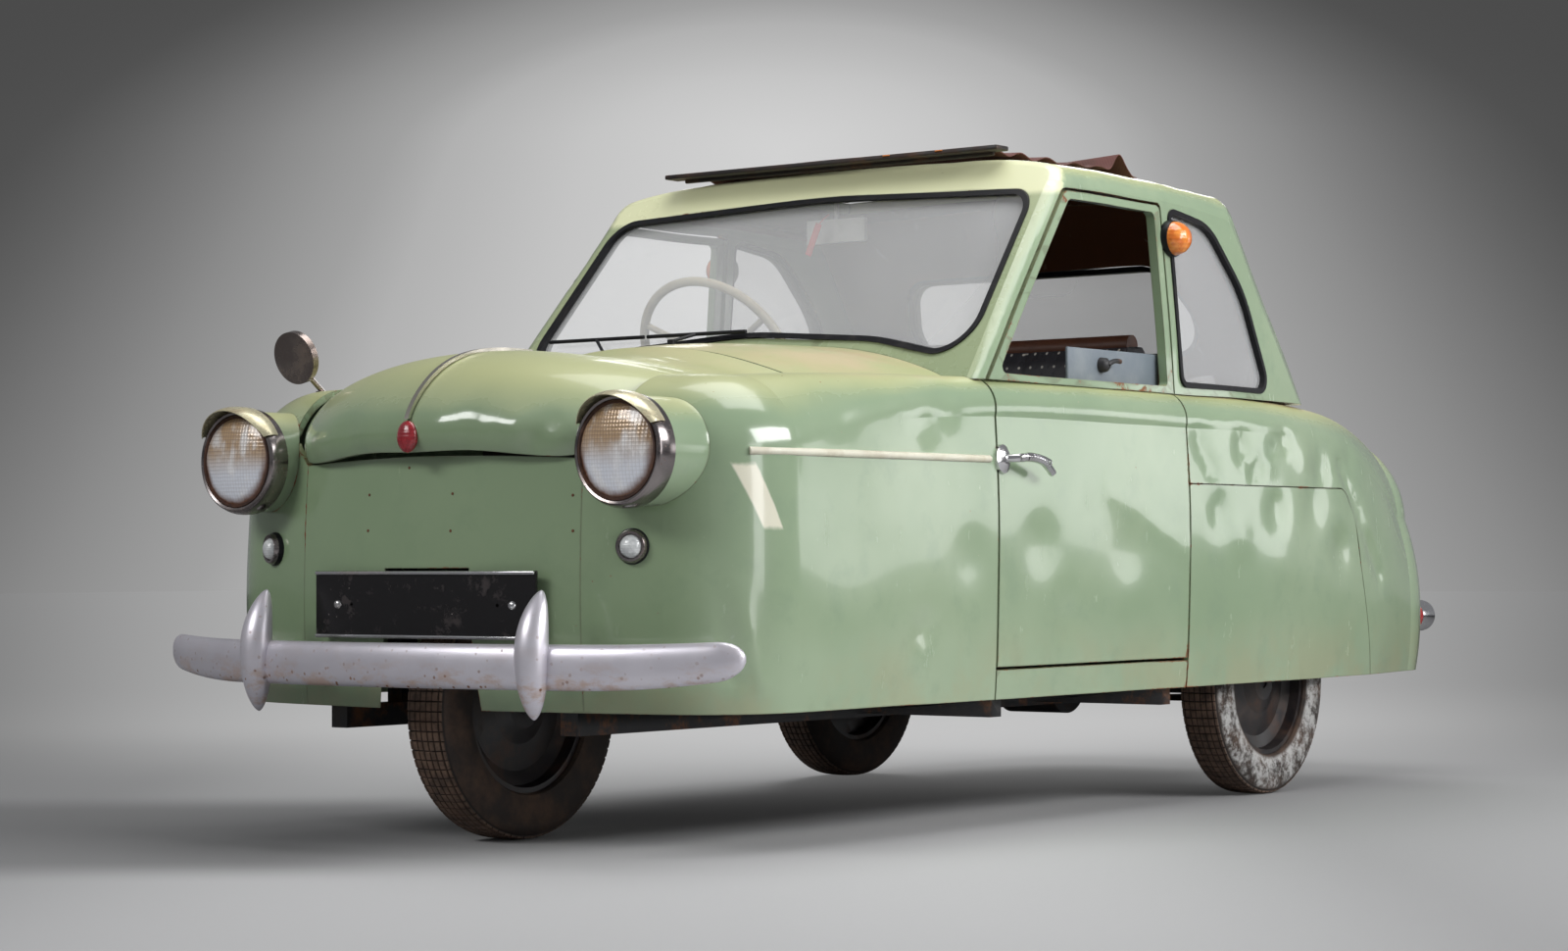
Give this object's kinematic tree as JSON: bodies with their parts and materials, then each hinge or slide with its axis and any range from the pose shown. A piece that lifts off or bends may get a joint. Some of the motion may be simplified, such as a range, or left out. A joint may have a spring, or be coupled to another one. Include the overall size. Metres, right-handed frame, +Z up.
{
  "type": "three wheeled car",
  "caption": "Small three wheeled saloon with one steered front wheel, rear-hinged doors, opening bonnet and boot lid, folding fabric roof panel and enclosed rear wheels.",
  "frame": {"origin": "on the ground, at the middle of the overall length and width", "axes": "+Z up, +Y towards the rear of the car, +X towards the car's left side"},
  "size_m": [1.404, 3.1339, 1.367],
  "materials": {
    "paint": "gloss",
    "chrome": "polished",
    "bright_alloy": "worn",
    "cream_trim": "gloss",
    "black_rubber": "matte",
    "tyre": "matte",
    "wheel_black": "satin",
    "glass": "clear",
    "lamp_glass": "fluted",
    "amber_lens": "gloss",
    "tail_lens": "gloss",
    "red_enamel": "gloss",
    "plate_black": "satin",
    "chassis_black": "matte",
    "floor_paint": "matte",
    "cast_iron": "rough",
    "seat_vinyl": "satin",
    "roof_fabric": "matte",
    "ivory_plastic": "gloss",
    "dash_paint": "satin"
  },
  "bodies": {
    "body": {"nose_panel": "paint", "front_wing_left": "paint", "front_wing_right": "paint", "scuttle_panel": "paint", "roof_shell": "paint", "sills": "paint", "rear_skirts": "paint", "rear_body": "paint", "windscreen_glass": "glass", "rear_glass": "glass", "window_rubbers": "black_rubber", "bumper_bar": "bright_alloy", "overriders": "bright_alloy", "headlamp_rims": "chrome", "headlamp_lenses": "lamp_glass", "headlamp_visors": "chrome", "side_lamps": "chrome", "tail_lamps": "tail_lens", "indicator_lamps": "amber_lens", "side_strips": "cream_trim", "number_plate": "plate_black", "rear_plate": "plate_black", "chassis_frame": "chassis_black", "rear_axle": "chassis_black", "rear_springs": "chassis_black", "floor_pan": "floor_paint", "engine_block": "cast_iron", "dashboard": "dash_paint", "front_seat_cushion": "seat_vinyl", "front_seat_base": "chassis_black", "front_seat_back": "seat_vinyl", "rear_seat": "seat_vinyl", "steering_column": "chassis_black", "interior_mirror": "chassis_black", "sunroof_fabric": "roof_fabric", "sunroof_bar": "roof_fabric", "wing_mirror": "chrome", "wipers": "black_rubber"},
    "bonnet": {"bonnet_panel": "paint", "bonnet_strip": "chrome", "front_emblem": "red_enamel"},
    "door_left": {"door_left": "paint", "door_handle_left": "chrome"},
    "door_right": {"door_right": "paint", "door_handle_right": "chrome"},
    "boot": {"boot_lid": "paint"},
    "steering_fork": {"steering_fork": "chassis_black"},
    "front_wheel": {"front_tyre": "tyre", "front_wheel": "wheel_black"},
    "rear_wheel_left": {"rear_tyre_left": "tyre", "rear_wheel_left": "wheel_black"},
    "rear_wheel_right": {"rear_tyre_right": "tyre", "rear_wheel_right": "wheel_black"},
    "steering_wheel": {"steering_wheel": "ivory_plastic"}
  },
  "joints": [
    {"name": "bonnet_hinge", "type": "hinge", "parent": "body", "child": "bonnet", "pos_m": [0, -0.836, 0.938], "axis": [-1, 0, 0], "range_deg": [0, 50]},
    {"name": "left_door_hinge", "type": "hinge", "parent": "body", "child": "door_left", "pos_m": [0.66, 0.177, 0.6], "axis": [0, 0, 1], "range_deg": [0, 70]},
    {"name": "right_door_hinge", "type": "hinge", "parent": "body", "child": "door_right", "pos_m": [-0.66, 0.177, 0.6], "axis": [0, 0, -1], "range_deg": [0, 70]},
    {"name": "boot_hinge", "type": "hinge", "parent": "body", "child": "boot", "pos_m": [0, 0.939, 0.902], "axis": [1, 0, 0], "range_deg": [0, 60]},
    {"name": "steering", "type": "hinge", "parent": "body", "child": "steering_fork", "pos_m": [0, -1.201, 0.56], "axis": [0, 0, 1], "range_deg": [-30, 30]},
    {"name": "front_wheel_spin", "type": "hinge", "parent": "steering_fork", "child": "front_wheel", "pos_m": [0, -1.201, 0.246], "axis": [1, 0, 0], "continuous": true},
    {"name": "rear_left_wheel_spin", "type": "hinge", "parent": "body", "child": "rear_wheel_left", "pos_m": [0.555, 0.62, 0.246], "axis": [1, 0, 0], "continuous": true},
    {"name": "rear_right_wheel_spin", "type": "hinge", "parent": "body", "child": "rear_wheel_right", "pos_m": [-0.555, 0.62, 0.246], "axis": [1, 0, 0], "continuous": true},
    {"name": "steering_wheel_turn", "type": "hinge", "parent": "body", "child": "steering_wheel", "pos_m": [-0.29, -0.209, 0.95], "axis": [0, 0.866, 0.5], "range_deg": [-360, 360]}
  ],
  "couplings": [
    {"joint": "steering_wheel_turn", "follows": "steering", "ratio": 12}
  ]
}
